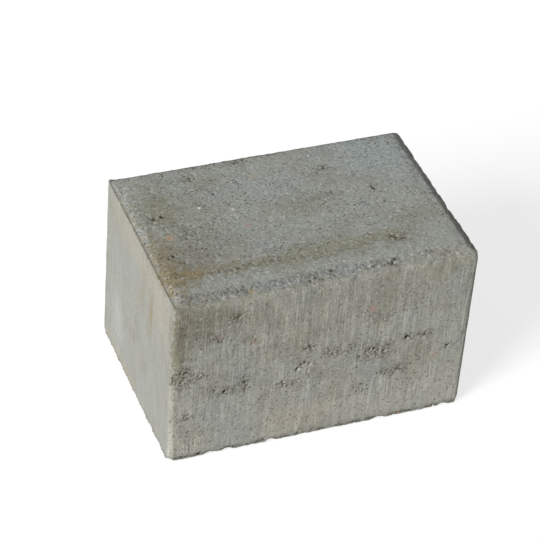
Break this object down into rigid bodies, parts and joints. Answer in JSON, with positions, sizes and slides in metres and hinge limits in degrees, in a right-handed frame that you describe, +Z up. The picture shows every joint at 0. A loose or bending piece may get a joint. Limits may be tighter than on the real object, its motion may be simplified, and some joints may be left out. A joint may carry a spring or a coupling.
{
  "type": "concrete paving stone",
  "caption": "Solid rectangular concrete paving stone with a bevelled, worn wearing face, rounded upright arrises and a chipped foot.",
  "frame": {"origin": "middle of the bed face, on the ground", "axes": "+X along the long side, +Y across the width away from the side seen in front, +Z up out of the wearing face"},
  "size_m": [0.21, 0.14, 0.1365],
  "materials": {
    "concrete": "dry, sandy, pitted grey concrete with brown and olive weathering stains"
  },
  "bodies": {
    "root": {"paving_stone": "concrete"}
  },
  "joints": []
}
